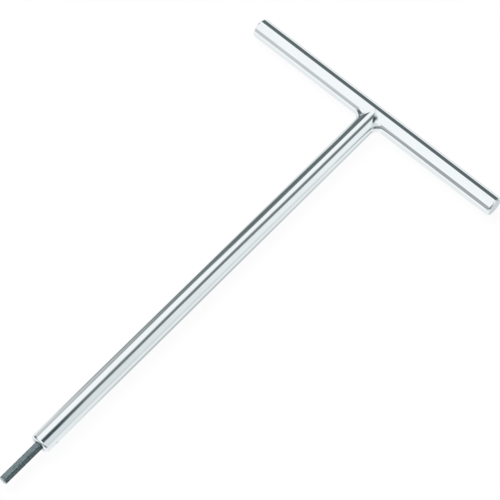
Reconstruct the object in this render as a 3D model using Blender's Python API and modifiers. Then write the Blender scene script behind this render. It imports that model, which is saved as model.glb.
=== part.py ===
"""T-handle hex wrench: a straight round crossbar welded across the end of a long
round tube shaft, with a short hexagonal bit held in the shaft's lower end.

The wrench lies flat. X runs along the crossbar, Y along the shaft from the bit's
end face towards the crossbar, and Z is up, square to the plane of the T. The
origin is the centre of the bit's end face. Units are metres.
"""

import math

import bmesh
import bpy
from mathutils import Matrix, Vector

# ---------------------------------------------------------------- dimensions
GAP = 0.0003                  # clearance kept between neighbouring pieces
ROUND_SEGMENTS = 96
SMALL_ROUND_SEGMENTS = 32

BAR_LENGTH = 0.200
BAR_DIAMETER = 0.0138
BAR_RADIUS = BAR_DIAMETER / 2
BAR_END_CHAMFER = 0.0009

SHAFT_DIAMETER = 0.0138
SHAFT_RADIUS = SHAFT_DIAMETER / 2
SHAFT_WALL = 0.002
BORE_RADIUS = SHAFT_RADIUS - SHAFT_WALL
SHAFT_LENGTH = 0.3075         # crossbar axis to the shaft's lower end
NOSE_RADIUS = 0.0018          # outer rounding of the tube's lower end
NOSE_STEPS = 9
BORE_CHAMFER = SHAFT_WALL - NOSE_RADIUS

BIT_ACROSS_FLATS = 0.0055
BIT_PROTRUSION = 0.0305       # from the shaft's lower end to the bit's end face
BIT_SEAT_DEPTH = 0.022        # length of bit held inside the socket plug
BIT_LENGTH = BIT_PROTRUSION + BIT_SEAT_DEPTH
BIT_END_CHAMFER = 0.0005
BIT_TURN = math.radians(9.0)  # turn of the hexagon about the shaft axis
BIT_TURNING_MARGIN = 0.0005   # how far the turning envelope stands outside the corners

SOCKET_LENGTH = 0.030
SOCKET_RADIUS = BORE_RADIUS - GAP
SOCKET_BACK_WALL = 0.006
SOCKET_CHAMFER = 0.0005       # on the plug's inner end

PIN_DIAMETER = 0.0020
PIN_RADIUS = PIN_DIAMETER / 2
PIN_FROM_SHAFT_END = 0.0085
PIN_RECESS = 0.0004           # from the shaft's outer radius in to each pin end
PIN_END_CHAMFER = 0.0002

ROOT_GAP = 0.0016             # weld root opening between the shaft's saddle and the crossbar
FILLET_SIDE = 0.0050          # fillet radius in the corners beside the shaft
FILLET_TOP = 0.0002           # fillet radius where the cylinders are tangent, above and below
WELD_CORE_RADIUS = 0.0050     # inner radius of the weld ring, about the shaft axis
WELD_CORE_WIDTH = 0.0030      # length of the weld's inner face along the shaft
WELD_FOOT_MARGIN = 0.0008     # how far each foot of the weld runs past the fillet
WELD_STEPS_ROUND = 72
WELD_STEPS_ACROSS = 13
SURFACE_REACH = 0.004         # how far either way the weld's outer surface is searched for
SURFACE_HALVINGS = 48
WELD_MERGE_DISTANCE = 1.5e-5

CROSS_CUTTER_LENGTH = 4 * SHAFT_RADIUS
BAR_CLEARANCE_LENGTH = 0.06
SHAFT_CLEARANCE_LENGTH = 0.04

SHAFT_END_Y = BIT_PROTRUSION
BAR_Y = BIT_PROTRUSION + SHAFT_LENGTH
PIN_Y = SHAFT_END_Y + PIN_FROM_SHAFT_END

# Directions in which a piece's own Z axis can point.
ALONG_X = Matrix.Rotation(math.radians(90), 4, "Y")
ALONG_Y = Matrix.Rotation(math.radians(-90), 4, "X")
# A hexagon starts with a corner on its own Y. Laid along the shaft with this turn,
# one flat faces up and leans BIT_TURN towards -X.
HEX_TURN = Matrix.Rotation(math.radians(30) - BIT_TURN, 4, "Z")

# ---------------------------------------------------------------- scene set-up
for old in list(bpy.data.objects):
    bpy.data.objects.remove(old, do_unlink=True)

PARTS = bpy.data.collections.new("t_handle_hex_wrench")
CUTTERS = bpy.data.collections.new("cutters")
bpy.context.scene.collection.children.link(PARTS)
bpy.context.scene.collection.children.link(CUTTERS)


def metal(name, colour, roughness):
    material = bpy.data.materials.new(name)
    material.use_nodes = True
    shader = material.node_tree.nodes["Principled BSDF"]
    shader.inputs["Base Color"].default_value = (*colour, 1.0)
    shader.inputs["Roughness"].default_value = roughness
    shader.inputs["Metallic"].default_value = 1.0
    return material


CHROME_BAR = metal("chrome_crossbar", colour=(0.90, 0.91, 0.92), roughness=0.06)
CHROME_SHAFT = metal("chrome_shaft", colour=(0.90, 0.91, 0.92), roughness=0.06)
CHROME_WELD = metal("chrome_weld", colour=(0.88, 0.90, 0.91), roughness=0.10)
PLUG_STEEL = metal("socket_steel", colour=(0.72, 0.74, 0.76), roughness=0.22)
BLACK_STEEL = metal("black_oxide_steel", colour=(0.20, 0.23, 0.24), roughness=0.34)
PIN_STEEL = metal("pin_steel", colour=(0.80, 0.82, 0.83), roughness=0.15)


# ---------------------------------------------------------------- making and cutting
def at(y, direction):
    """Placement at y on the shaft axis, with the piece's own Z along direction."""
    return Matrix.Translation((0, y, 0)) @ direction


def add_object(name, bm, place=None, material=None):
    """Turns bm into an object: a part if it has a material, otherwise a hidden cutter."""
    mesh = bpy.data.meshes.new(name)
    bm.to_mesh(mesh)
    bm.free()
    thing = bpy.data.objects.new(name, mesh)
    if material is None:
        CUTTERS.objects.link(thing)
        thing.hide_render = True
        thing.display_type = "WIRE"
    else:
        PARTS.objects.link(thing)
        mesh.materials.append(material)
    if place is not None:
        thing.matrix_world = place
    return thing


def turned(name, profile, place, material=None, steps=ROUND_SEGMENTS, closed=False):
    """A turned piece: profile is (radius, height) pairs down the outer side, spun about the
    piece's own Z axis by a Screw modifier."""
    bm = bmesh.new()
    points = [bm.verts.new((radius, 0.0, height)) for radius, height in profile]
    for start, end in zip(points, points[1:]):
        bm.edges.new((start, end))
    if closed:
        bm.edges.new((points[-1], points[0]))
    thing = add_object(name, bm, place, material)
    screw = thing.modifiers.new("turn", "SCREW")
    screw.angle = 2 * math.pi
    screw.steps = steps
    screw.render_steps = steps
    screw.use_merge_vertices = True
    screw.merge_threshold = 1e-6
    screw.use_smooth_shade = True
    return thing


def chamfered_rod(name, radius, half_length, chamfer, place, material, steps=ROUND_SEGMENTS):
    """A turned rod centred on its origin, with both ends chamfered."""
    profile = [
        (0.0, half_length),
        (radius - chamfer, half_length),
        (radius, half_length - chamfer),
        (radius, -half_length + chamfer),
        (radius - chamfer, -half_length),
        (0.0, -half_length),
    ]
    return turned(name, profile, place, material, steps)


def prism(name, radius, length, place, material=None, segments=ROUND_SEGMENTS):
    """A regular prism or plain cylinder along its own Z, centred on its origin."""
    bm = bmesh.new()
    bmesh.ops.create_cone(
        bm, cap_ends=True, segments=segments, radius1=radius, radius2=radius, depth=length
    )
    return add_object(name, bm, place, material)


def hexagon(name, across_flats, length, place, material=None):
    return prism(name, across_flats / math.sqrt(3), length, place, material, segments=6)


def cut(target, cutter, operation="DIFFERENCE"):
    boolean = target.modifiers.new(operation.lower() + "_" + cutter.name, "BOOLEAN")
    boolean.operation = operation
    boolean.solver = "EXACT"
    boolean.object = cutter


def apply_modifiers(thing):
    """Makes the modifiers permanent, so that the mesh can be shaded or used as a cutter."""
    bpy.context.view_layer.update()
    graph = bpy.context.evaluated_depsgraph_get()
    mesh = bpy.data.meshes.new_from_object(thing.evaluated_get(graph))
    thing.modifiers.clear()
    thing.data = mesh


def tidy(thing, distance):
    """Merges points that a Boolean left almost together, and drops faces that then have no area."""
    bm = bmesh.new()
    bm.from_mesh(thing.data)
    bmesh.ops.triangulate(bm, faces=bm.faces)
    bmesh.ops.remove_doubles(bm, verts=bm.verts, dist=distance)
    bmesh.ops.dissolve_degenerate(bm, dist=distance, edges=bm.edges)
    bmesh.ops.triangulate(bm, faces=bm.faces)
    bm.to_mesh(thing.data)
    bm.free()


def smooth(thing, sharp_degrees=30):
    thing.data.shade_smooth()
    thing.data.set_sharp_from_angle(angle=math.radians(sharp_degrees))


# ---------------------------------------------------------------- crossbar
def make_crossbar():
    return chamfered_rod(
        "crossbar", BAR_RADIUS, BAR_LENGTH / 2, BAR_END_CHAMFER, at(BAR_Y, ALONG_X), CHROME_BAR
    )


# ---------------------------------------------------------------- shaft
def make_pin_hole_cutter():
    """The cross hole shared by the shaft, the socket plug and the bit."""
    return prism(
        "pin_hole_cutter",
        PIN_RADIUS + GAP,
        CROSS_CUTTER_LENGTH,
        at(PIN_Y, ALONG_X),
        segments=SMALL_ROUND_SEGMENTS,
    )


def make_shaft(pin_hole_cutter):
    """A tube whose upper end is cut to a saddle concentric with the crossbar, and whose
    lower end is rounded outside and has a small chamfer at the bore."""
    nose = []
    for i in range(NOSE_STEPS + 1):
        turn = math.radians(90) * i / NOSE_STEPS
        radius = SHAFT_RADIUS - NOSE_RADIUS * (1 - math.cos(turn))
        nose.append((radius, NOSE_RADIUS * (1 - math.sin(turn))))
    profile = [
        (BORE_RADIUS, SHAFT_LENGTH),
        (SHAFT_RADIUS, SHAFT_LENGTH),
        *nose,
        (BORE_RADIUS, BORE_CHAMFER),
    ]
    tube = turned("shaft_tube", profile, at(SHAFT_END_Y, ALONG_Y), CHROME_SHAFT, closed=True)
    saddle_cutter = prism(
        "saddle_cutter", BAR_RADIUS + ROOT_GAP, CROSS_CUTTER_LENGTH, at(BAR_Y, ALONG_X)
    )
    cut(tube, saddle_cutter)
    cut(tube, pin_hole_cutter)
    return tube


# ---------------------------------------------------------------- weld
# The weld ring fills the root opening and rounds off the corner between the two
# cylinders. Its outside is the rounded union of the crossbar and the shaft. The
# points below are measured from where the two axes cross.
TO_SHAFT = Vector((0, -1, 0))
BAR_FOOT_SLANT = 0.55   # lean of the foot on the bar away from the shaft, above and below
OUTWARD_RISE = 1.4      # stretch along Z of the direction in which the surface is sought


def fillet_radius(rise):
    """Fillet radius for a height from 0, level with the axes, to 1, above or below them."""
    return FILLET_SIDE + (FILLET_TOP - FILLET_SIDE) * rise**4


def rounded_union(point):
    """Signed distance-like value of the crossbar and the shaft joined with a fillet."""
    to_bar = math.hypot(point.y, point.z) - BAR_RADIUS
    to_shaft = math.hypot(point.x, point.z) - SHAFT_RADIUS
    if point.y > 0:
        # The shaft ends at the crossbar's axis.
        to_shaft = math.hypot(max(to_shaft, 0.0), point.y)
    fillet = fillet_radius(min(1.0, abs(point.z) / BAR_RADIUS))
    inside = math.hypot(max(fillet - to_bar, 0.0), max(fillet - to_shaft, 0.0))
    return max(fillet, min(to_bar, to_shaft)) - inside


def on_surface(start, outward):
    """The point on the rounded union reached from start along +-outward, by bisection."""
    low, high = -SURFACE_REACH, SURFACE_REACH
    for _ in range(SURFACE_HALVINGS):
        middle = (low + high) / 2
        if rounded_union(start + outward * middle) < 0:
            low = middle
        else:
            high = middle
    return start + outward * ((low + high) / 2)


def weld_section(angle):
    """The weld's closed section at this angle round the shaft, 0 being straight up."""
    sine, cosine = math.sin(angle), math.cos(angle)
    side, rise = abs(sine), abs(cosine)
    root = Vector((SHAFT_RADIUS * sine, -BAR_RADIUS * side, SHAFT_RADIUS * cosine))
    along_bar = Vector((sine, BAR_FOOT_SLANT * rise, 0)).normalized()
    outward = Vector((sine, -side, OUTWARD_RISE * cosine)).normalized()

    fillet = fillet_radius(rise)
    fillet_end = math.sqrt((BAR_RADIUS + fillet) ** 2 - (BAR_RADIUS * rise) ** 2)
    shaft_foot = root + TO_SHAFT * (fillet_end - BAR_RADIUS * side + WELD_FOOT_MARGIN)
    bar_foot = root + along_bar * (fillet + WELD_FOOT_MARGIN)
    outer = []
    for i in range(WELD_STEPS_ACROSS):
        across = i / (WELD_STEPS_ACROSS - 1)
        outer.append(on_surface(shaft_foot.lerp(bar_foot, across), outward))

    core_scale = WELD_CORE_RADIUS / SHAFT_RADIUS
    core = Vector([value * core_scale for value in root])
    return outer + [core, core + TO_SHAFT * WELD_CORE_WIDTH]


def make_weld_ring():
    bm = bmesh.new()
    to_crossing = Vector((0, BAR_Y, 0))
    sections = []
    for i in range(WELD_STEPS_ROUND):
        section = weld_section(2 * math.pi * (i + 0.5) / WELD_STEPS_ROUND)
        sections.append([bm.verts.new(point + to_crossing) for point in section])
    for section, following in zip(sections, sections[1:] + sections[:1]):
        for j in range(len(section)):
            k = (j + 1) % len(section)
            bm.faces.new((section[j], section[k], following[k], following[j]))
    bmesh.ops.recalc_face_normals(bm, faces=bm.faces)
    bmesh.ops.triangulate(bm, faces=bm.faces)
    return add_object("weld_fillet", bm, material=CHROME_WELD)


def make_weld():
    """The weld ring, cut clear of the crossbar and of the saddle-ended shaft."""
    weld = make_weld_ring()
    bar_cutter = prism(
        "bar_clearance_cutter", BAR_RADIUS + GAP, BAR_CLEARANCE_LENGTH, at(BAR_Y, ALONG_X)
    )
    shaft_cutter = prism(
        "shaft_clearance_cutter",
        SHAFT_RADIUS + GAP,
        SHAFT_CLEARANCE_LENGTH,
        at(BAR_Y - SHAFT_CLEARANCE_LENGTH / 2, ALONG_Y),
    )
    root_face_cutter = prism(
        "root_face_cutter",
        BAR_RADIUS + ROOT_GAP - GAP,
        BAR_CLEARANCE_LENGTH,
        at(BAR_Y, ALONG_X),
    )
    cut(shaft_cutter, root_face_cutter)
    apply_modifiers(shaft_cutter)
    cut(weld, bar_cutter)
    cut(weld, shaft_cutter)
    return weld


# ---------------------------------------------------------------- socket plug
def make_socket(pin_hole_cutter):
    """The plug in the tube's lower end, flush with it, with a hexagonal hole for the bit."""
    profile = [
        (0.0, SOCKET_LENGTH),
        (SOCKET_RADIUS - SOCKET_CHAMFER, SOCKET_LENGTH),
        (SOCKET_RADIUS, SOCKET_LENGTH - SOCKET_CHAMFER),
        (SOCKET_RADIUS, 0.0),
        (0.0, 0.0),
    ]
    socket = turned("bit_socket", profile, at(SHAFT_END_Y, ALONG_Y), PLUG_STEEL)
    # Centred on the plug's open end, so half of the cutter's length is the hole's depth.
    hex_hole_cutter = hexagon(
        "hex_hole_cutter",
        BIT_ACROSS_FLATS + 2 * GAP,
        2 * (SOCKET_LENGTH - SOCKET_BACK_WALL),
        at(SHAFT_END_Y, ALONG_Y) @ HEX_TURN,
    )
    cut(socket, hex_hole_cutter)
    cut(socket, pin_hole_cutter)
    return socket


# ---------------------------------------------------------------- bit
def make_bit_turning():
    """The envelope that takes the six corners off at 45 degrees at both ends of the bit."""
    end_radius = BIT_ACROSS_FLATS / 2 - BIT_END_CHAMFER / 2
    blank_radius = BIT_ACROSS_FLATS / math.sqrt(3) + BIT_TURNING_MARGIN
    slope = blank_radius - end_radius
    profile = [
        (0.0, BIT_LENGTH),
        (end_radius, BIT_LENGTH),
        (blank_radius, BIT_LENGTH - slope),
        (blank_radius, slope),
        (end_radius, 0.0),
        (0.0, 0.0),
    ]
    return turned("bit_turning", profile, ALONG_Y, steps=SMALL_ROUND_SEGMENTS * 2)


def make_bit(pin_hole_cutter):
    place = at(BIT_LENGTH / 2, ALONG_Y) @ HEX_TURN
    bit = hexagon("hex_bit", BIT_ACROSS_FLATS, BIT_LENGTH, place, BLACK_STEEL)
    cut(bit, make_bit_turning(), "INTERSECT")
    cut(bit, pin_hole_cutter)
    return bit


# ---------------------------------------------------------------- retaining pin
def make_pin():
    return chamfered_rod(
        "retaining_pin",
        PIN_RADIUS,
        SHAFT_RADIUS - PIN_RECESS,
        PIN_END_CHAMFER,
        at(PIN_Y, ALONG_X),
        PIN_STEEL,
        steps=SMALL_ROUND_SEGMENTS,
    )


# ---------------------------------------------------------------- assembly
pin_hole = make_pin_hole_cutter()
crossbar = make_crossbar()
shaft_tube = make_shaft(pin_hole)
weld_fillet = make_weld()
bit_socket = make_socket(pin_hole)
hex_bit = make_bit(pin_hole)
retaining_pin = make_pin()

wrench = bpy.data.objects.new("wrench_origin", None)
wrench.empty_display_size = 0.02
PARTS.objects.link(wrench)
for piece in (crossbar, shaft_tube, weld_fillet, bit_socket, hex_bit, retaining_pin):
    apply_modifiers(piece)
    if piece is weld_fillet:
        tidy(piece, WELD_MERGE_DISTANCE)
    smooth(piece)
    world_place = piece.matrix_world.copy()
    piece.parent = wrench
    piece.matrix_world = world_place
bpy.context.view_layer.update()
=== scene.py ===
"""Looks for a T-handle hex wrench: fine surfaces, materials, floor, light and camera.

The wrench lies flat, its axes in the plane z = 0. The shaft runs along Y at x = 0, with
the crossbar along X at its +Y end and the hex bit at its -Y end. Every piece rides on the
one rigid body, "root"."""

import math

import bmesh
import bpy
from mathutils import Matrix, Vector


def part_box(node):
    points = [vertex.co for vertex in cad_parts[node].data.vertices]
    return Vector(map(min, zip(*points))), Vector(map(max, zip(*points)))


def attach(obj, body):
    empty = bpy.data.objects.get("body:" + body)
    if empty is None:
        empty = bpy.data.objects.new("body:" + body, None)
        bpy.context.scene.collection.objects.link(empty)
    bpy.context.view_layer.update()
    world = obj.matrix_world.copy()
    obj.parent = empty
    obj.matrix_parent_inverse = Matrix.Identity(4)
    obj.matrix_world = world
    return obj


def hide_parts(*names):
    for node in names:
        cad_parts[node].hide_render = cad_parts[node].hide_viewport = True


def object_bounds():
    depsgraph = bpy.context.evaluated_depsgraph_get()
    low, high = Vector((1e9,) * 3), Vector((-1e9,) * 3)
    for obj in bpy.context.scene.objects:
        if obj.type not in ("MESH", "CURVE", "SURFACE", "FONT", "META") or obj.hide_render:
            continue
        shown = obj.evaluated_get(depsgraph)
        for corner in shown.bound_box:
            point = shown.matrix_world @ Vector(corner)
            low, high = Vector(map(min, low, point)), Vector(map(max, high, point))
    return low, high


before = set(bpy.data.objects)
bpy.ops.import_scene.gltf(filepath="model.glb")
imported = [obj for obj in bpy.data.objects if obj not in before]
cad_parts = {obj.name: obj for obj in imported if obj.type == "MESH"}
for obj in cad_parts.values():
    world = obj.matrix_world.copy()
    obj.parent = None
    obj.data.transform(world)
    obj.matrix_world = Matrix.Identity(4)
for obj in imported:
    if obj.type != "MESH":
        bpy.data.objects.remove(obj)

CAD_LOW, CAD_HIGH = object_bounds()
MM = 0.001

# ---------------------------------------------------------------- sizes read from the frame
bar_low, bar_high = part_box("crossbar")
tube_low, tube_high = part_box("shaft_tube")
bit_low, bit_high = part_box("hex_bit")
pin_low, pin_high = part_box("retaining_pin")

BAR_RADIUS = (bar_high.z - bar_low.z) / 2
BAR_HALF = (bar_high.x - bar_low.x) / 2
BAR_Y = (bar_high.y + bar_low.y) / 2
TUBE_RADIUS = (tube_high.z - tube_low.z) / 2
TUBE_END_Y = tube_low.y
PLUG_TOP_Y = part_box("bit_socket")[1].y
BIT_END_Y = bit_low.y
BIT_TOP_Y = bit_high.y
PIN_Y = (pin_low.y + pin_high.y) / 2
PIN_RADIUS = (pin_high.z - pin_low.z) / 2

# ---------------------------------------------------------------- finishing sizes
HAIRLINE = 0.06 * MM  # gap between fitted pieces
ROUND_COLUMNS = 256

END_CHAMFER = 0.9 * MM
EDGE_ROUND = 0.22 * MM

TUBE_WALL = 2.0 * MM
TUBE_BORE = TUBE_RADIUS - TUBE_WALL
NOSE_RADIUS = 1.8 * MM  # rounding of the tube's lower outer edge
BORE_CHAMFER = 0.2 * MM
NECK_Y = TUBE_END_Y + NOSE_RADIUS + 0.5 * MM
WALL_TOP_Y = BAR_Y - 10 * MM  # where the plain wall ends and the saddle begins
SADDLE_RADIUS = BAR_RADIUS + 0.05 * MM

FILLET_SIDE = 5.0 * MM
FILLET_TOP = 0.2 * MM

BIT_FLATS = 5.5 * MM
BIT_CORNER_ROUND = 0.22 * MM
BIT_END_RADIUS = 2.5 * MM
BIT_RIM_ROUND = 0.07 * MM
BIT_TURN = math.radians(9.0)
HEX_STEPS = 20  # columns to a flat
HEX_HALF = math.radians(30)  # from the middle of a flat to a corner


# ---------------------------------------------------------------- mesh helpers
def piece(name, bm, node, material, sharp=35.0):
    """A finished mesh as a piece on the root body, standing for its CAD node."""
    bmesh.ops.recalc_face_normals(bm, faces=bm.faces)
    mesh = bpy.data.meshes.new(name)
    bm.to_mesh(mesh)
    bm.free()
    mesh.shade_smooth()
    mesh.set_sharp_from_angle(angle=math.radians(sharp))
    mesh.materials.append(material)
    thing = bpy.data.objects.new(name, mesh)
    bpy.context.scene.collection.objects.link(thing)
    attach(thing, "root")
    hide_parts(node)
    return thing


def softened(points, radius, steps=5):
    """The polyline with its inner corners turned to arcs. A corner's arc keeps within half
    of each of its legs."""
    out = [points[0]]
    for before, corner, after in zip(points, points[1:], points[2:]):
        corner = Vector(corner)
        back, ahead = Vector(before) - corner, Vector(after) - corner
        bend = math.pi - back.angle(ahead)
        reach = min(radius * math.tan(bend / 2), 0.45 * back.length, 0.45 * ahead.length)
        arc_radius = reach / math.tan(bend / 2)
        back_way, ahead_way = back.normalized(), ahead.normalized()
        start, end = corner + back_way * reach, corner + ahead_way * reach
        inward = (back_way + ahead_way).normalized()
        centre = corner + inward * (arc_radius / math.cos(bend / 2))
        first = start - centre
        turn = first.angle_signed(end - centre)
        for i in range(steps + 1):
            # angle_signed is clockwise positive for 2D vectors
            angle = -turn * i / steps
            cos, sin = math.cos(angle), math.sin(angle)
            x = centre.x + first.x * cos - first.y * sin
            y = centre.y + first.x * sin + first.y * cos
            out.append((x, y))
    out.append(points[-1])
    return out


def with_supports(profile, near=0.5 * MM, longest=12 * MM):
    """Adds rings beside the ends of long spans and at even steps along them, so that
    smooth shading stays true right up to a rounded edge."""
    out = [profile[0]]
    for start, end in zip(profile, profile[1:]):
        start_point, end_point = Vector(start), Vector(end)
        length = (end_point - start_point).length
        if length > 3 * near:
            middle = length - 2 * near
            steps = max(1, int(middle / longest))
            stops = [near / length]
            stops += [(near + middle * i / steps) / length for i in range(1, steps)]
            stops.append(1 - near / length)
            out += [tuple(start_point.lerp(end_point, stop)) for stop in stops]
        out.append(end)
    return out


def ring_mesh(rings, closed_tube=False):
    """A surface through rings of points. A ring of one point closes that end to a tip.
    With closed_tube the last ring joins back to the first."""
    bm = bmesh.new()
    made = [[bm.verts.new(point) for point in ring] for ring in rings]
    pairs = list(zip(made, made[1:]))
    if closed_tube:
        pairs.append((made[-1], made[0]))
    for one, two in pairs:
        count = max(len(one), len(two))
        for i in range(count):
            k = (i + 1) % count
            if len(one) == 1:
                bm.faces.new((one[0], two[i], two[k]))
            elif len(two) == 1:
                bm.faces.new((one[i], one[k], two[0]))
            else:
                bm.faces.new((one[i], one[k], two[k], two[i]))
    return bm


def turned_rings(profile, axis, place=Vector((0, 0, 0))):
    """Rings for a turned profile of (radius, height) pairs about the X or the Y axis."""
    rings = []
    for radius, height in profile:
        columns = 1 if radius < 1e-9 else ROUND_COLUMNS
        ring = []
        for i in range(columns):
            angle = 2 * math.pi * (i + 0.5) / columns
            across, up = radius * math.sin(angle), radius * math.cos(angle)
            point = (height, across, up) if axis == "X" else (across, height, up)
            ring.append(place + Vector(point))
        rings.append(ring)
    return rings


def hexagon_columns(flats):
    """(angle, radius) round a hexagon with rounded corners. Angle 0 is straight up, and
    positive towards +X. One flat faces up, leaning BIT_TURN towards -X."""
    apothem = flats / 2
    # distance from the axis to the centre of a corner's arc
    centre = apothem / math.cos(HEX_HALF) - BIT_CORNER_ROUND / math.cos(HEX_HALF)
    # half angle of the straight part
    meet = math.atan2(centre * math.sin(HEX_HALF), apothem)
    side_columns = []
    for i in range(HEX_STEPS):
        angle = math.atan(math.tan(meet) * (-1 + 2 * i / (HEX_STEPS - 1)))
        side_columns.append((angle, apothem / math.cos(angle)))
    for i in range(1, 6):
        angle = meet + (2 * (HEX_HALF - meet)) * i / 6
        off = angle - HEX_HALF
        chord = math.sqrt(max(BIT_CORNER_ROUND**2 - (centre * math.sin(off)) ** 2, 0.0))
        side_columns.append((angle, centre * math.cos(off) + chord))
    return [
        (-BIT_TURN + math.radians(60 * side) + angle, radius)
        for side in range(6)
        for angle, radius in side_columns
    ]


def column_rings(columns, stations):
    """A ring for each (y, radius) station. Either may be a function of the column's own
    radius, and a radius of None keeps that radius."""
    rings = []
    for y, radius in stations:
        ring = []
        for angle, own in columns:
            used = own if radius is None else radius(own) if callable(radius) else radius
            height = y(own) if callable(y) else y
            ring.append(Vector((used * math.sin(angle), height, used * math.cos(angle))))
        rings.append(ring)
    return rings


def grown(amount):
    return lambda radius: radius + amount


def drill_for_pin(thing):
    """Drills the pin's hole through thing along X, then drops the cutter."""
    radius = PIN_RADIUS + HAIRLINE
    bm = bmesh.new()
    bmesh.ops.create_cone(
        bm, cap_ends=True, segments=64, radius1=radius, radius2=radius, depth=4 * TUBE_RADIUS
    )
    bmesh.ops.rotate(bm, verts=bm.verts, matrix=Matrix.Rotation(math.radians(90), 3, "Y"))
    bmesh.ops.translate(bm, verts=bm.verts, vec=Vector((0, PIN_Y, 0)))
    mesh = bpy.data.meshes.new("cutter")
    bm.to_mesh(mesh)
    bm.free()
    cutter = bpy.data.objects.new("cutter", mesh)
    bpy.context.scene.collection.objects.link(cutter)
    boolean = thing.modifiers.new("drill", "BOOLEAN")
    boolean.operation = "DIFFERENCE"
    boolean.solver = "EXACT"
    boolean.object = cutter
    bpy.context.view_layer.update()
    graph = bpy.context.evaluated_depsgraph_get()
    cut_mesh = bpy.data.meshes.new_from_object(thing.evaluated_get(graph))
    thing.modifiers.clear()
    thing.data = cut_mesh
    bpy.data.objects.remove(cutter, do_unlink=True)
    bpy.data.meshes.remove(mesh)


def true_round(thing, radius, tolerance=4e-6):
    """Gives the corners of faces on a round wall about the Y axis the wall's own normals,
    so that reflections run straight past a drilled hole."""
    mesh = thing.data
    mesh.set_sharp_from_angle(angle=math.radians(35))
    normals = [Vector(normal.vector) for normal in mesh.corner_normals]
    for face in mesh.polygons:
        out = Vector((face.center.x, 0, face.center.z))
        if out.length < 1e-6 or out.normalized().dot(face.normal) < 0.999:
            continue
        corners = [mesh.vertices[v].co for v in face.vertices]
        if all(abs(math.hypot(c.x, c.z) - radius) < tolerance for c in corners):
            for loop, corner in zip(face.loop_indices, corners):
                normals[loop] = Vector((corner.x, 0, corner.z)).normalized()
    mesh.normals_split_custom_set(normals)


# ---------------------------------------------------------------- node helpers
class Graph:
    """Short names for the few shader nodes that the materials and the world share."""

    def __init__(self, tree):
        self.tree = tree
        tree.nodes.clear()

    def node(self, kind, **settings):
        made = self.tree.nodes.new(kind)
        for key, value in settings.items():
            setattr(made, key, value)
        return made

    def feed(self, socket, value):
        """Links a socket or sets a value. None leaves the socket alone."""
        if isinstance(value, bpy.types.NodeSocket):
            self.tree.links.new(value, socket)
        elif value is not None:
            if isinstance(value, tuple) and len(value) == 3 and socket.type == "RGBA":
                value = (*value, 1.0)
            socket.default_value = value

    def output(self, shader, kind="ShaderNodeOutputMaterial"):
        out = self.node(kind)
        self.tree.links.new(shader.outputs[0], out.inputs["Surface"])

    def math(self, operation, a, b=None):
        made = self.node("ShaderNodeMath", operation=operation)
        for socket, value in zip(made.inputs, (a, b)):
            self.feed(socket, value)
        return made.outputs[0]

    def mul(self, a, b):
        return self.math("MULTIPLY", a, b)

    def add(self, a, b):
        return self.math("ADD", a, b)

    def sub(self, a, b):
        return self.math("SUBTRACT", a, b)

    def top(self, a, b):
        return self.math("MAXIMUM", a, b)

    def base_plus(self, base, first, second):
        """base plus two (value, weight) parts."""
        return self.add(base, self.add(self.mul(*first), self.mul(*second)))

    def ramp(self, value, low, high, to_low=0.0, to_high=1.0, soft=True):
        made = self.node("ShaderNodeMapRange", clamp=True)
        made.interpolation_type = "SMOOTHSTEP" if soft else "LINEAR"
        for socket, v in zip(made.inputs, (value, low, high, to_low, to_high)):
            self.feed(socket, v)
        return made.outputs["Result"]

    def fade(self, *spans):
        """The product of ramps, each (value, low, high) or with to_low, to_high added."""
        first, *others = [self.ramp(*span) for span in spans]
        for other in others:
            first = self.mul(first, other)
        return first

    def window(self, value, low, high, soft):
        """1 between low and high, falling to 0 over soft on either side."""
        rise = self.ramp(value, self.sub(low, soft), low)
        fall = self.ramp(value, high, self.add(high, soft), 1.0, 0.0)
        return self.mul(rise, fall)

    def mix(self, factor, a, b, blend="MIX"):
        made = self.node("ShaderNodeMix", data_type="RGBA", blend_type=blend)
        self.feed(made.inputs[0], factor)
        self.feed(made.inputs[6], a)
        self.feed(made.inputs[7], b)
        return made.outputs[2]

    def noise(self, vector, scale, detail=2.0, roughness=0.5, distortion=0.0):
        made = self.node("ShaderNodeTexNoise")
        self.feed(made.inputs["Vector"], vector)
        self.feed(made.inputs["Scale"], scale)
        self.feed(made.inputs["Detail"], detail)
        self.feed(made.inputs["Roughness"], roughness)
        self.feed(made.inputs["Distortion"], distortion)
        return made.outputs["Fac"]

    def place(self):
        return self.node("ShaderNodeTexCoord").outputs["Object"]

    def stretched(self, vector, scale, turn=(0, 0, 0)):
        made = self.node("ShaderNodeMapping")
        self.feed(made.inputs["Vector"], vector)
        made.inputs["Rotation"].default_value = turn
        made.inputs["Scale"].default_value = scale
        return made.outputs["Vector"]

    def split(self, vector):
        made = self.node("ShaderNodeSeparateXYZ")
        self.feed(made.inputs[0], vector)
        return made.outputs[0], made.outputs[1], made.outputs[2]

    def join(self, x, y, z):
        made = self.node("ShaderNodeCombineXYZ")
        for socket, value in zip(made.inputs, (x, y, z)):
            self.feed(socket, value)
        return made.outputs[0]

    def bump(self, height, distance, normal=None):
        made = self.node("ShaderNodeBump")
        self.feed(made.inputs["Height"], height)
        self.feed(made.inputs["Strength"], 1.0)
        self.feed(made.inputs["Distance"], distance)
        self.feed(made.inputs["Normal"], normal)
        return made.outputs["Normal"]

    def metal(self, colour, roughness, normal, metallic=1.0):
        shader = self.node("ShaderNodeBsdfPrincipled")
        self.feed(shader.inputs["Base Color"], colour)
        self.feed(shader.inputs["Roughness"], roughness)
        self.feed(shader.inputs["Metallic"], metallic)
        self.feed(shader.inputs["Normal"], normal)
        self.output(shader)


def material(name):
    made = bpy.data.materials.new(name)
    made.use_nodes = True
    return made, Graph(made.node_tree)


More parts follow.
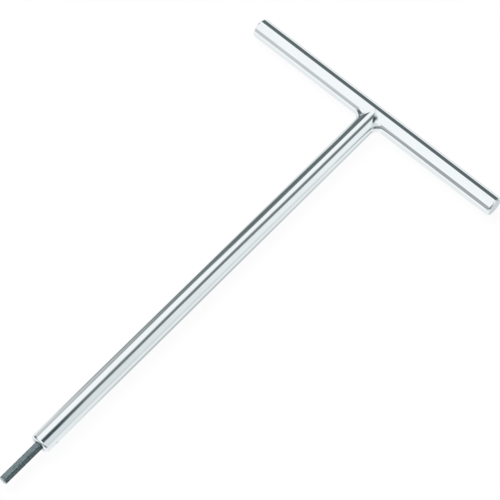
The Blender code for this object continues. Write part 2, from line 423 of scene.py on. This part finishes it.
# ---------------------------------------------------------------- materials
def chrome(name, axis, tint=(0.90, 0.925, 0.935), dull=0.0):
    """Bright chrome over a ground and polished bar: grinding lines run round it, the
    polish leaves it faintly wavy, and handling leaves haze and hair-thin scratches."""
    made, g = material(name)
    place = g.place()
    # ground lines: fine along the axis, long round it
    fine = (5200.0, 160.0, 160.0) if axis == "X" else (160.0, 5200.0, 160.0)
    ground = g.noise(g.stretched(place, fine), scale=1.0, detail=2.0, roughness=0.6)
    waves = g.noise(place, scale=95.0, detail=1.0, roughness=0.4)
    # scratches: long thin ridges in two slanting families, kept where a noise is high
    scratch = None
    for turn, stretch in (((0.3, 0.5, 0.9), 1.0), ((0.9, -0.4, -0.6), 1.4)):
        slanted = g.stretched(place, (2600.0 * stretch, 90.0, 90.0), turn)
        lines = g.noise(slanted, scale=1.0, detail=0.0, roughness=0.0)
        near = g.math("ABSOLUTE", g.sub(lines, 0.5))
        thin = g.ramp(near, low=0.0, high=0.010, to_low=1.0, to_high=0.0)
        patches = g.noise(place, scale=260.0 * stretch, detail=2.0, roughness=0.6)
        kept = g.mul(thin, g.ramp(patches, low=0.58, high=0.70))
        scratch = kept if scratch is None else g.top(scratch, kept)
    haze = g.noise(place, scale=48.0, detail=4.0, roughness=0.62, distortion=0.6)
    smear = g.ramp(haze, low=0.46, high=0.70)
    grains = g.noise(place, scale=2400.0, detail=1.0, roughness=0.5)
    speck = g.ramp(grains, low=0.74, high=0.80)

    rough = 0.045 + dull
    # how much each mark roughens the surface
    for mark, weight in ((smear, 0.055), (scratch, 0.14), (speck, 0.10), (ground, 0.02)):
        rough = g.add(rough, g.mul(mark, weight))
    shade = tint
    # each mark's share of its own colour
    for mark, share, colour in (
        (smear, 0.35, tuple(0.94 * c for c in tint)),
        (scratch, 0.30, (0.74, 0.76, 0.77)),
        (speck, 0.30, (0.62, 0.65, 0.66)),
    ):
        shade = g.mix(g.mul(mark, share), shade, colour)
    normal = g.bump(waves, distance=12e-6)
    normal = g.bump(ground, distance=0.35e-6, normal=normal)
    normal = g.bump(scratch, distance=-0.8e-6, normal=normal)
    g.metal(shade, rough, normal)
    return made


def plug_steel():
    """Turned steel, with facing marks in rings about the Y axis."""
    ring_pitch = 0.10 * MM
    wobble_share = 0.6
    made, g = material("socket_turned_steel")
    place = g.place()
    x, _, z = g.split(place)
    across = g.sub(x, 0.0)
    radius = g.math("SQRT", g.add(g.mul(across, across), g.mul(z, z)))
    wobble = g.noise(place, scale=700.0, detail=1.0, roughness=0.5)
    turned = g.join(g.mul(radius, 1.0 / ring_pitch), g.mul(wobble, wobble_share), 0.0)
    rings = g.noise(turned, scale=1.0, detail=3.0, roughness=0.7)
    stain = g.noise(place, scale=900.0, detail=3.0, roughness=0.6)
    stained = g.ramp(stain, low=0.40, high=0.72)
    colour = g.mix(stained, (0.70, 0.73, 0.75), (0.52, 0.55, 0.57))
    rough = g.base_plus(base=0.18, first=(rings, 0.10), second=(stain, 0.10))
    g.metal(colour, rough, g.bump(rings, distance=1.2e-6))
    return made


def pin_steel():
    made, g = material("pin_brushed_steel")
    place = g.place()
    along = g.stretched(place, (600.0, 9000.0, 600.0))
    brushed = g.noise(along, scale=1.0, detail=2.0, roughness=0.6)
    stain = g.noise(place, scale=1500.0, detail=2.0, roughness=0.6)
    stained = g.ramp(stain, low=0.42, high=0.70)
    colour = g.mix(stained, (0.80, 0.82, 0.83), (0.60, 0.63, 0.64))
    rough = g.base_plus(base=0.13, first=(brushed, 0.10), second=(stain, 0.08))
    g.metal(colour, rough, g.bump(brushed, distance=0.6e-6))
    return made


def black_oxide():
    """Drawn hexagonal bar, blackened: lines along its length, corners and tip worn bright."""
    edge_wear = 0.05
    drawn_share = 0.5
    worn_polish = 0.10  # roughness lost where worn
    bare_metallic = 0.90  # metallic gained where worn
    made, g = material("bit_black_oxide_steel")
    place = g.place()
    along = g.stretched(place, (7000.0, 110.0, 7000.0))
    drawn = g.noise(along, scale=1.0, detail=3.0, roughness=0.65)
    blotch = g.noise(place, scale=520.0, detail=4.0, roughness=0.65)
    grit = g.noise(place, scale=4200.0, detail=2.0, roughness=0.6)
    edge = g.node("ShaderNodeAttribute", attribute_name="edge").outputs["Fac"]
    tip = g.node("ShaderNodeAttribute", attribute_name="tip").outputs["Fac"]
    worn = g.mul(g.mul(edge, edge_wear), g.ramp(blotch, low=0.36, high=0.60))
    chips = g.noise(place, scale=1300.0, detail=3.0, roughness=0.6)
    worn = g.top(worn, g.mul(tip, g.ramp(chips, low=0.25, high=0.50)))
    blotched = g.ramp(blotch, low=0.35, high=0.70)
    dark = g.mix(blotched, (0.082, 0.126, 0.137), (0.116, 0.166, 0.180))
    lines = g.mul(g.ramp(drawn, low=0.50, high=0.72), drawn_share)
    dark = g.mix(lines, dark, (0.17, 0.22, 0.24))
    colour = g.mix(worn, dark, (0.56, 0.59, 0.60))
    rough = g.base_plus(base=0.30, first=(blotch, 0.10), second=(grit, 0.06))
    rough = g.sub(rough, g.mul(worn, worn_polish))
    normal = g.bump(drawn, distance=1.2e-6)
    normal = g.bump(grit, distance=0.8e-6, normal=normal)
    g.metal(colour, rough, normal, metallic=g.add(0.08, g.mul(worn, bare_metallic)))
    return made


# ---------------------------------------------------------------- crossbar
def build_crossbar():
    chamfer_radius, chamfer_x = BAR_RADIUS - END_CHAMFER, BAR_HALF - END_CHAMFER
    profile = [
        (0.0, BAR_HALF),
        (chamfer_radius, BAR_HALF),
        (BAR_RADIUS, chamfer_x),
        (BAR_RADIUS, -chamfer_x),
        (chamfer_radius, -BAR_HALF),
        (0.0, -BAR_HALF),
    ]
    profile = with_supports(softened(profile, EDGE_ROUND))
    bm = ring_mesh(turned_rings(profile, "X", Vector((0, BAR_Y, 0))))
    looks = chrome("crossbar_bright_chrome", "X")
    piece("crossbar_skin", bm, "crossbar", looks)


# ---------------------------------------------------------------- shaft tube
def saddle_y(z):
    return BAR_Y - math.sqrt(max(SADDLE_RADIUS**2 - z * z, 0.0))


def saddle_ring(ring, share=1.0):
    """The ring moved along Y by a share of its way to the saddle."""
    return [Vector((p.x, p.y + (saddle_y(p.z) - p.y) * share, p.z)) for p in ring]


def build_shaft():
    """The outer wall, the saddle cut against the crossbar, the bore and the turned lower
    end, as one closed surface. Columns keep their angle, and the saddle sets how far each
    one runs."""
    nose_centre = TUBE_RADIUS - NOSE_RADIUS
    lower_end = softened(
        [
            (TUBE_BORE, TUBE_END_Y + 3 * MM),
            (TUBE_BORE, TUBE_END_Y + BORE_CHAMFER),
            (TUBE_BORE + BORE_CHAMFER, TUBE_END_Y),
            (nose_centre + 0.02 * MM, TUBE_END_Y),
        ],
        0.08 * MM,
    )
    for i in range(1, 19):
        turn = math.radians(5 * i)
        radius = TUBE_RADIUS - NOSE_RADIUS * (1 - math.sin(turn))
        lower_end.append((radius, TUBE_END_Y + NOSE_RADIUS * (1 - math.cos(turn))))
    lower_end.append((TUBE_RADIUS, NECK_Y))
    wall_stops = [NECK_Y + (WALL_TOP_Y - NECK_Y) * i / 24 for i in range(1, 25)]
    rings = turned_rings(lower_end + [(TUBE_RADIUS, y) for y in wall_stops], "Y")
    last_outer = rings[-1]
    rings += [saddle_ring(last_outer, share) for share in (0.5, 1.0)]
    inner = turned_rings([(TUBE_BORE, WALL_TOP_Y)], "Y")[0]
    rings += [saddle_ring(inner), inner]
    rings += turned_rings([(TUBE_BORE, y) for y in reversed(wall_stops[:-1][::4])], "Y")
    bm = ring_mesh(rings, closed_tube=True)
    looks = chrome("shaft_bright_chrome", "Y")
    shaft = piece("shaft_tube_skin", bm, "shaft_tube", looks)
    drill_for_pin(shaft)
    true_round(shaft, TUBE_RADIUS)


# ---------------------------------------------------------------- weld fillet
# The dressed and plated weld: the rounded union of the two cylinders, a swelling that
# runs out along the shaft and the crossbar and is almost flush above and below. It is
# worked out with the crossbar's axis at y = 0.
def fillet_size(rise):
    """Blend size, from the side (rise 0) to straight above or below (rise 1)."""
    return FILLET_SIDE + (FILLET_TOP - FILLET_SIDE) * rise**4


def sharp_union(p):
    """Distances from p to the crossbar and to the shaft, which ends at y = 0."""
    to_bar = math.hypot(p.y, p.z) - BAR_RADIUS
    around = math.hypot(p.x, p.z) - TUBE_RADIUS
    if p.y <= 0:
        to_shaft = around
    elif around > 0:
        to_shaft = math.hypot(around, p.y)
    else:
        to_shaft = p.y
    return to_bar, to_shaft


def rounded_union(p):
    to_bar, to_shaft = sharp_union(p)
    size = fillet_size(min(1.0, abs(p.z) / BAR_RADIUS))
    inside = math.hypot(max(size - to_bar, 0.0), max(size - to_shaft, 0.0))
    return max(size, min(to_bar, to_shaft)) - inside


def surface_point(start, outward, field):
    """Where the field crosses zero on the line through start, by halving."""
    low, high = -0.004, 0.004
    for _ in range(44):
        middle = (low + high) / 2
        if field(start + outward * middle) < 0:
            low = middle
        else:
            high = middle
    return start + outward * ((low + high) / 2)


def weld_row(angle, steps):
    """One section of the fillet's face at this angle round the shaft, from its foot on the
    shaft to its foot on the crossbar, with the seam point and the outward way."""
    across, up = math.sin(angle), math.cos(angle)
    side, rise = abs(across), abs(up)
    root = Vector((TUBE_RADIUS * across, -BAR_RADIUS * side, TUBE_RADIUS * up))
    along_bar = Vector((across, 0.55 * rise, 0)).normalized()
    outward = Vector((across, -side, 1.4 * up)).normalized()
    size = fillet_size(rise)
    margin = 0.8 * MM
    foot_y = math.sqrt((BAR_RADIUS + size) ** 2 - (BAR_RADIUS * rise) ** 2)
    shaft_far = root + Vector((0, -1, 0)) * (foot_y - BAR_RADIUS * side + margin)
    bar_far = root + along_bar * (size + margin)

    def height(t):
        """How far the rounded union stands above the sharp one."""
        start = shaft_far.lerp(bar_far, t)
        sharp = surface_point(start, outward, lambda p: min(sharp_union(p)))
        rounded = surface_point(start, outward, rounded_union)
        return (rounded - start).dot(outward) - (sharp - start).dot(outward)

    middle = max((height(i / 24.0), i / 24.0) for i in range(1, 24))[1]

    def foot(outer, inner):
        for _ in range(26):
            t = (outer + inner) / 2
            if height(t) > 2e-6:
                inner = t
            else:
                outer = t
        return inner

    first, last = foot(0.0, middle), foot(1.0, middle)
    row = []
    for i in range(steps):
        t = 0.5 - 0.5 * math.cos(math.pi * (i / (steps - 1)))
        start = shaft_far.lerp(bar_far, first + (last - first) * t)
        row.append(surface_point(start, outward, rounded_union))
    return row, root, outward


def build_weld(around=300, across=22):
    depth = 0.35 * MM  # how far the hidden side lies under both surfaces
    rings = []
    for i in range(around):
        row, root, outward = weld_row(2 * math.pi * (i + 0.5) / around, across)
        under_shaft = row[0] - outward * depth
        under_bar = row[-1] - outward * depth
        under_root = root - outward * (1.5 * depth)
        ring = row + [under_bar, under_root, under_shaft]
        rings.append([p + Vector((0, BAR_Y, 0)) for p in ring])
    bm = ring_mesh(rings, closed_tube=True)
    looks = chrome("weld_bright_chrome", "Y", tint=(0.885, 0.91, 0.92), dull=0.02)
    piece("weld_fillet_skin", bm, "weld_fillet", looks, sharp=32.0)


# ---------------------------------------------------------------- hex bit
def build_bit():
    """The hexagonal bar, with a rounded rim and a 45 degree cone at each end's place."""
    soft = BIT_RIM_ROUND

    def cone(offset):
        return lambda radius: BIT_END_Y + (radius - BIT_END_RADIUS) + offset

    # (y, radius): end face, its rounded rim, and the line where the cone leaves each flat
    stations = [
        (BIT_END_Y, BIT_END_RADIUS * 0.35),
        (BIT_END_Y, BIT_END_RADIUS * 0.7),
        (BIT_END_Y, BIT_END_RADIUS - soft),
        (BIT_END_Y + 0.3 * soft, BIT_END_RADIUS - 0.3 * soft),
        (BIT_END_Y + 0.7 * soft, BIT_END_RADIUS + 0.4 * soft),
        (cone(-0.5 * soft), grown(-0.5 * soft)),
        (cone(0.10 * soft), grown(-0.12 * soft)),
        (cone(0.7 * soft), None),
        (cone(0.35 * MM), None),
    ]
    # rings along the flats, as steps from BIT_END_Y
    steps = [mm * MM for mm in (1.4, 3, 6, 10, 15, 20, 25, 29, 33, 40, 46)]
    steps.append(BIT_TOP_Y - 0.8 * MM)
    stations += [(BIT_END_Y + step, None) for step in steps]
    stations += [
        (lambda radius: BIT_TOP_Y - (radius - BIT_END_RADIUS), None),
        (BIT_TOP_Y, BIT_END_RADIUS),
    ]
    rings = [[Vector((0, BIT_END_Y, 0))]]
    rings += column_rings(hexagon_columns(BIT_FLATS), stations)
    rings.append([Vector((0, BIT_TOP_Y, 0))])
    looks = black_oxide()
    bit = piece("hex_bit_skin", ring_mesh(rings), "hex_bit", looks, sharp=28.0)
    mark_wear(bit)
    return bit


def mark_wear(bit):
    """Point values for the bit's material: 1 at the corners ("edge") and the end ("tip")."""
    apothem = BIT_FLATS / 2
    corner_reach = apothem / math.cos(HEX_HALF) - BIT_CORNER_ROUND * 0.16
    edge_start, edge_span = 0.62, 0.30  # shares of the way from flat to corner
    tip_full, tip_fade = 0.15 * MM, 0.5 * MM
    edge_values, tip_values = [], []
    for vertex in bit.data.vertices:
        radius = math.hypot(vertex.co.x, vertex.co.z)
        near_corner = (radius - apothem) / (corner_reach - apothem)
        edge_values.append(max(0.0, min(1.0, (near_corner - edge_start) / edge_span)))
        end_distance = vertex.co.y - BIT_END_Y
        tip_values.append(max(0.0, min(1.0, 1.0 - (end_distance - tip_full) / tip_fade)))
    for label, values in (("edge", edge_values), ("tip", tip_values)):
        attribute = bit.data.attributes.new(label, "FLOAT", "POINT")
        attribute.data.foreach_set("value", values)


# ---------------------------------------------------------------- bit socket
def build_socket():
    """The plug: hexagonal hole with its floor and a broken edge, flush end face, and
    outer wall."""
    wall = TUBE_BORE - HAIRLINE
    hole_floor_y = TUBE_END_Y + (PLUG_TOP_Y - TUBE_END_Y - 6 * MM)
    # (y, radius), from the hole's floor out to the end face and back up the wall
    stations = [
        (hole_floor_y, BIT_END_RADIUS * 0.6),
        (hole_floor_y, None),
        (TUBE_END_Y + 12 * MM, None),
        (TUBE_END_Y + 1 * MM, None),
        (TUBE_END_Y + 0.22 * MM, None),
        (TUBE_END_Y + 0.04 * MM, grown(0.16 * MM)),
        (TUBE_END_Y, grown(0.24 * MM)),
        (TUBE_END_Y, lambda radius: 0.5 * (radius + wall)),
        (TUBE_END_Y, wall - 0.16 * MM),
        (TUBE_END_Y + 0.03 * MM, wall - 0.05 * MM),
        (TUBE_END_Y + 0.14 * MM, wall),
        (TUBE_END_Y + 6 * MM, wall),
        (PLUG_TOP_Y - 0.5 * MM, wall),
        (PLUG_TOP_Y, wall - 0.5 * MM),
    ]
    rings = [[Vector((0, hole_floor_y, 0))]]
    rings += column_rings(hexagon_columns(BIT_FLATS + 2 * HAIRLINE), stations)
    rings.append([Vector((0, PLUG_TOP_Y, 0))])
    bm = ring_mesh(rings)
    return piece("bit_socket_skin", bm, "bit_socket", plug_steel())


# ---------------------------------------------------------------- retaining pin
def pin_end(end):
    """Rings from the middle of the -X (-1) or +X (1) end face out to its rim."""
    rings = []
    for share in (0.0, 0.5, 0.85, 0.97, 1.0):
        columns = 1 if share == 0 else 64
        sink = 0.02 * MM + (0.05 * MM if share == 1.0 else 0.0)
        ring = []
        for i in range(columns):
            angle = 2 * math.pi * (i + 0.5) / columns
            y, z = PIN_RADIUS * share * math.cos(angle), PIN_RADIUS * share * math.sin(angle)
            x = end * (math.sqrt(TUBE_RADIUS**2 - z * z) - sink)
            ring.append(Vector((x, PIN_Y + y, z)))
        rings.append(ring)
    return rings


def build_pin():
    """Ground almost flush with the tube, so that its ends carry the tube's own curve."""
    bm = ring_mesh(pin_end(-1) + pin_end(1)[::-1])
    piece("retaining_pin_skin", bm, "retaining_pin", pin_steel())


# ---------------------------------------------------------------- floor
def build_floor():
    mesh = bpy.data.meshes.new("floor")
    bm = bmesh.new()
    bmesh.ops.create_grid(bm, x_segments=4, y_segments=4, size=4.0)
    bm.to_mesh(mesh)
    bm.free()
    floor = bpy.data.objects.new("floor", mesh)
    floor.location = (0, 0.17, CAD_LOW.z - 0.05 * MM)
    bpy.context.scene.collection.objects.link(floor)
    floor.visible_glossy = False

    # pale paper, washed out to white for the camera where it is seen from steeply above
    looks, g = material("pale_floor")
    paper = g.node("ShaderNodeBsdfDiffuse")
    paper.inputs["Color"].default_value = (0.88, 0.885, 0.89, 1)
    glow = g.node("ShaderNodeEmission")
    glow.inputs["Color"].default_value = (1, 1, 1, 1)
    glow.inputs["Strength"].default_value = 1.0
    steep = g.split(g.node("ShaderNodeNewGeometry").outputs["Incoming"])[2]
    wash = g.ramp(steep, low=0.30, high=0.80, to_low=0.55, to_high=0.95)
    is_camera = g.node("ShaderNodeLightPath").outputs["Is Camera Ray"]
    blend = g.node("ShaderNodeMixShader")
    g.feed(blend.inputs[0], g.mul(wash, is_camera))
    g.feed(blend.inputs[1], paper.outputs[0])
    g.feed(blend.inputs[2], glow.outputs[0])
    g.output(blend)
    mesh.materials.append(looks)


# ---------------------------------------------------------------- studio light
# What polished metal mirrors: a soft white tent with a slightly dimmer wall towards +X, one
# narrow open seam overhead, and the darker room showing low round the horizon. A lamp high
# towards -X lights diffuse surfaces only. The lower half stands for the pale table, so the
# floor itself is left out of mirror reflections; the wrench's shade on that table is painted
# into it as dimmer patches.
TENT = (0.99, 1.01, 1.02)
LAMP = 20.0
RIGHT_WALL = (0.93, 0.965, 0.98)
RIGHT_WALL_NEAR = (0.74, 0.785, 0.80)
TABLE = (1.02, 1.04, 1.05)
TABLE_RIGHT = (0.92, 0.945, 0.955)
DARK = (0.050, 0.078, 0.085)
LAMP_WAY = Vector((-0.62, 0.16, 0.77)).normalized()
EDGE_REACH = 40  # room edges from -40 to 40 degrees are stored as 0 to 1
ROOM_SOFT = 8.0  # degrees

# heading (0 at +Y, 90 at -X, 180 at -Y), darkness, low edge, high edge in degrees
ROOM = [
    (-180, 0.66, -5.0, 25.0), (-162, 0.72, -5.0, 25.0), (-140, 0.72, -7.0, 22.0),
    (-118, 0.88, -9.0, 20.0), (-100, 0.55, -11.0, 17.0), (-86, 0.26, -11.0, 11.0),
    (-79, 0.14, -10.0, 8.0), (-66, 0.20, -10.0, 7.0), (-30, 0.75, -10.0, 24.0),
    (0, 0.93, 2.0, 41.0), (14, 0.93, 2.0, 44.0), (33, 0.92, 0.0, 42.0),
    (50, 0.92, -2.0, 40.0), (62, 0.91, -2.0, 37.0), (67, 0.91, -6.0, 31.0),
    (69.5, 0.91, -26.0, 23.0), (71, 0.90, -40.0, 20.0), (73, 0.80, -36.0, 24.0),
    (75.5, 0.54, -27.0, 29.0), (77, 0.42, -12.0, 34.0), (78.5, 0.38, -6.0, 37.0),
    (82, 0.45, -6.0, 34.0), (92, 0.88, -8.0, 26.0), (118, 0.93, -8.0, 24.0),
    (140, 0.70, -6.0, 24.0), (151, 0.50, -4.0, 24.0), (156, 0.41, -4.0, 24.0),
    (161, 0.41, -4.0, 24.0), (164, 0.67, -5.0, 26.0), (166.5, 0.62, -5.0, 23.0),
    (180, 0.66, -5.0, 25.0),
]


def room_band(g, heading, elevation):
    """How much of the dark room shows in each direction."""
    room = g.node("ShaderNodeValToRGB")
    room.color_ramp.interpolation = "EASE"
    elements = room.color_ramp.elements
    while len(elements) > 1:
        elements.remove(elements[-1])
    for i, (where, dark, *edges) in enumerate(ROOM):
        position = (where + 180) / 360
        element = elements[0] if i == 0 else elements.new(position)
        element.position = position
        low, high = [(edge + EDGE_REACH) / (2 * EDGE_REACH) for edge in edges]
        element.color = (dark, low, high, 1)
    g.feed(room.inputs[0], g.ramp(heading, low=-180, high=180, soft=False))
    pick = g.node("ShaderNodeSeparateColor")
    g.feed(pick.inputs[0], room.outputs[0])
    low_edge = g.sub(g.mul(pick.outputs[1], 2 * EDGE_REACH), EDGE_REACH)
    high_edge = g.sub(g.mul(pick.outputs[2], 2 * EDGE_REACH), EDGE_REACH)
    return g.mul(pick.outputs[0], g.window(elevation, low_edge, high_edge, ROOM_SOFT))


def build_world():
    world = bpy.data.worlds.new("studio")
    bpy.context.scene.world = world
    world.use_nodes = True
    g = Graph(world.node_tree)
    way = g.node("ShaderNodeTexCoord").outputs["Generated"]
    x, y, z = g.split(way)
    degree = 180 / math.pi
    elevation = g.mul(g.math("ARCSINE", z), degree)
    lean = g.mul(g.math("ARCTAN2", x, z), degree)  # from overhead towards +X
    heading = g.mul(g.math("ARCTAN2", g.mul(x, -1.0), y), degree)
    band = room_band(g, heading, elevation)

    # the seam, bent and flared by a few degrees of lean along Y
    bulge = g.mul(g.window(y, low=0.295, high=0.325, soft=0.045), 6.0)
    bent = g.add(lean, g.add(bulge, g.ramp(y, low=0.37, high=0.32, to_low=0.0, to_high=3.0)))
    flare = g.ramp(y, low=0.235, high=0.205, to_low=0.0, to_high=8.0)
    seam = g.fade(
        (bent, -9.0, 9.0),
        (g.sub(bent, flare), 36.0, 23.0),
        (z, 0.3, 0.5),
        (y, -0.2, 0.05),
        (y, 0.208, 0.235, 1.0, 0.87),
    )
    right = g.fade((lean, 20.0, 34.0), (z, -0.06, 0.06))
    wall = g.mix(g.ramp(y, low=0.20, high=0.42), RIGHT_WALL_NEAR, RIGHT_WALL)
    facing = g.node("ShaderNodeVectorMath", operation="DOT_PRODUCT")
    g.feed(facing.inputs[0], way)
    facing.inputs[1].default_value = LAMP_WAY
    lamp_rim, lamp_core = math.cos(math.radians(32)), math.cos(math.radians(10))
    lamp = g.ramp(facing.outputs["Value"], low=lamp_rim, high=lamp_core)
    table = g.mix(g.ramp(x, low=0.0, high=0.3), TABLE, TABLE_RIGHT)
    sky = g.mix(g.ramp(z, low=0.0, high=-0.08), TENT, table)
    sky = g.mix(right, sky, wall)
    path = g.node("ShaderNodeLightPath")
    glow = g.mul(g.mul(lamp, LAMP), path.outputs["Is Diffuse Ray"])
    sky = g.mix(1.0, sky, g.join(glow, glow, glow), "ADD")

    # painted shade: dimmer patches of the table where the wrench itself shades it, as the
    # chrome mirrors them; strength, colour, and the fades that bound each one
    patches = [
        # towards +Y
        (0.62, (0.76, 0.80, 0.81), [
            (z, -0.25, -0.60), (y, -0.15, 0.10), (y, 0.20, 0.27, 0.5, 1.0),
        ]),
        # towards -X
        (0.72, (0.52, 0.57, 0.585), [
            (x, -0.05, -0.28), (z, -0.30, -0.55), (y, 0.20, 0.25, 0.35, 1.0),
        ]),
        # steeply below, towards +X
        (0.62, (0.30, 0.34, 0.35), [
            (z, -0.48, -0.76), (x, 0.0, 0.22), (y, 0.20, 0.26, 0.0, 1.0),
            (y, 0.30, 0.40, 1.0, 0.55), (z, -0.935, -0.895, 0.45, 1.0),
        ]),
    ]
    for strength, colour, fades in patches:
        sky = g.mix(g.mul(g.fade(*fades), strength), sky, colour)
    sky = g.mix(seam, sky, DARK)
    sky = g.mix(band, sky, DARK)

    # diffuse light is halved, and the camera sees plain white
    lit = g.mix(path.outputs["Is Diffuse Ray"], sky, (0.5, 0.5, 0.5), "MULTIPLY")
    shown = g.mix(path.outputs["Is Camera Ray"], lit, (1.0, 1.0, 1.0))
    background = g.node("ShaderNodeBackground")
    g.feed(background.inputs["Color"], shown)
    g.output(background, "ShaderNodeOutputWorld")


# ---------------------------------------------------------------- camera
def build_camera():
    data = bpy.data.cameras.new("camera")
    data.sensor_width = 36.0
    data.lens = 149.81
    data.shift_x = -0.001
    data.shift_y = 0.001
    data.clip_start = 0.05
    data.clip_end = 20.0
    camera = bpy.data.objects.new("camera", data)
    bpy.context.scene.collection.objects.link(camera)
    camera.location = (0.39676, -0.21883, 1.16405)
    target = Vector((0.00620, 0.21178, 0.0))
    camera.rotation_mode = "QUATERNION"
    camera.rotation_quaternion = (target - camera.location).to_track_quat("-Z", "Y")
    bpy.context.scene.camera = camera


# ---------------------------------------------------------------- build
build_crossbar()
build_shaft()
build_weld()
hex_bit = build_bit()
bit_socket = build_socket()
drill_for_pin(bit_socket)
drill_for_pin(hex_bit)
build_pin()
build_floor()
build_world()
bpy.context.scene.view_settings.view_transform = "Standard"
bpy.context.scene.view_settings.look = "None"
build_camera()
